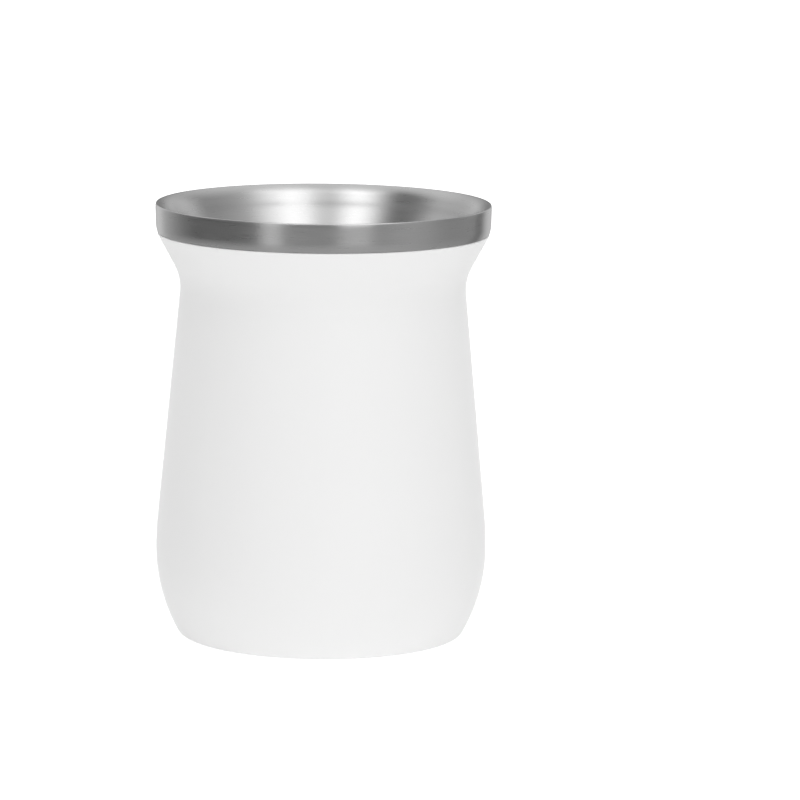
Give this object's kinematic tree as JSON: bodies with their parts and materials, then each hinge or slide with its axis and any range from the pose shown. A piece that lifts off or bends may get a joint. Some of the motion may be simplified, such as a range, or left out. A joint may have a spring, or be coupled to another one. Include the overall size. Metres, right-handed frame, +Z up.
{
  "type": "stainless steel mate cup",
  "caption": "Round double-walled steel drinking cup with a waisted white coated body, a bare steel band round the rim and a flared steel mouth.",
  "frame": {"origin": "centre of the foot, on the surface that the cup stands on", "axes": "+Z up along the cup's axis of turning; X and Y are alike"},
  "size_m": [0.0846, 0.0846, 0.1098],
  "materials": {
    "white_coat": "matt white powder coat with a very fine grain",
    "brushed_steel": "bare stainless steel, brushed round the cup"
  },
  "bodies": {
    "root": {"outer_shell": "white_coat", "steel_liner": "brushed_steel"}
  },
  "joints": []
}
